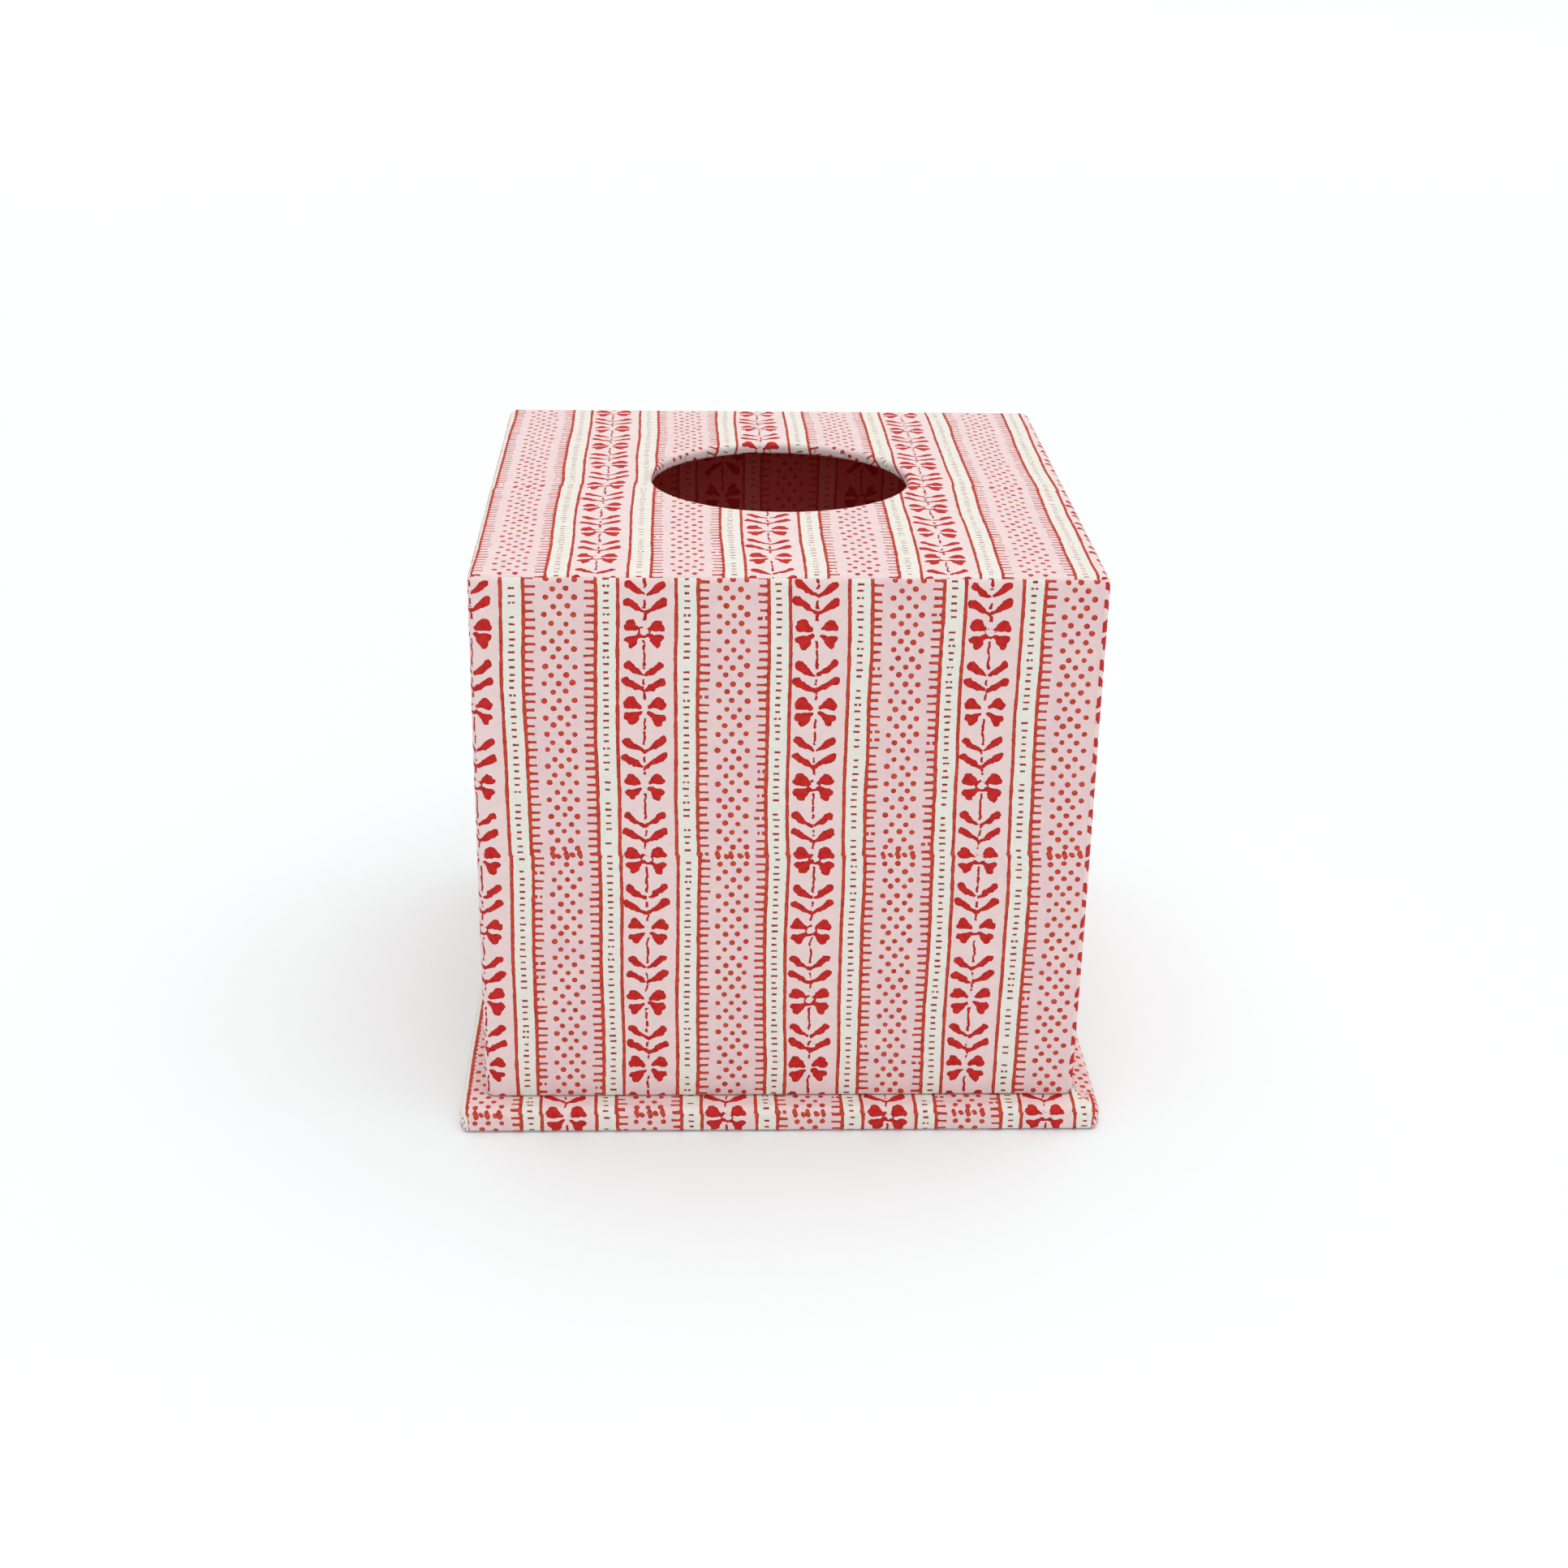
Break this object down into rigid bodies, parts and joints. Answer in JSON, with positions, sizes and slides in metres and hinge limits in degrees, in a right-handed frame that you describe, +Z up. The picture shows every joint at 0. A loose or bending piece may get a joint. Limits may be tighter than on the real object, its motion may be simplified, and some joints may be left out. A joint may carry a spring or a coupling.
{
  "type": "tissue box cover",
  "caption": "Cube-shaped cover of paper-covered board with an oval opening in its top, standing loosely on a square plinth base with a locating collar.",
  "frame": {"origin": "middle of the base's underside, on the surface that it stands on", "axes": "+Z up along the direction that the cover lifts, front wall faces -Y, +X to the right seen from the front"},
  "size_m": [0.15, 0.15, 0.1368],
  "materials": {
    "greyboard": "raw greyboard, hidden under the papers",
    "printed_paper": "uncoated paper, block-printed in pink and crimson stripes with vines on off-white",
    "lining_paper": "uncoated paper with the same block print in crimson on a coral-red ground",
    "plain_paper": "plain off-white paper"
  },
  "bodies": {
    "base": {"base_board": "greyboard", "base_wrap_sheet": "printed_paper", "base_underside_sheet": "plain_paper", "collar_front_board": "greyboard", "collar_back_board": "greyboard", "collar_left_board": "greyboard", "collar_right_board": "greyboard", "collar_wrap_sheet": "lining_paper", "tray_floor_sheet": "lining_paper"},
    "cover": {"cover_front_board": "greyboard", "cover_back_board": "greyboard", "cover_left_board": "greyboard", "cover_right_board": "greyboard", "cover_top_board": "greyboard", "cover_side_wrap_sheet": "printed_paper", "cover_top_sheet": "printed_paper", "lining_front_sheet": "lining_paper", "lining_back_sheet": "lining_paper", "lining_left_sheet": "lining_paper", "lining_right_sheet": "lining_paper", "lining_ceiling_sheet": "lining_paper"}
  },
  "joints": [
    {"name": "cover_lift", "type": "slide", "parent": "base", "child": "cover", "axis": [0, 0, 1], "range_m": [0, 0.15]}
  ]
}
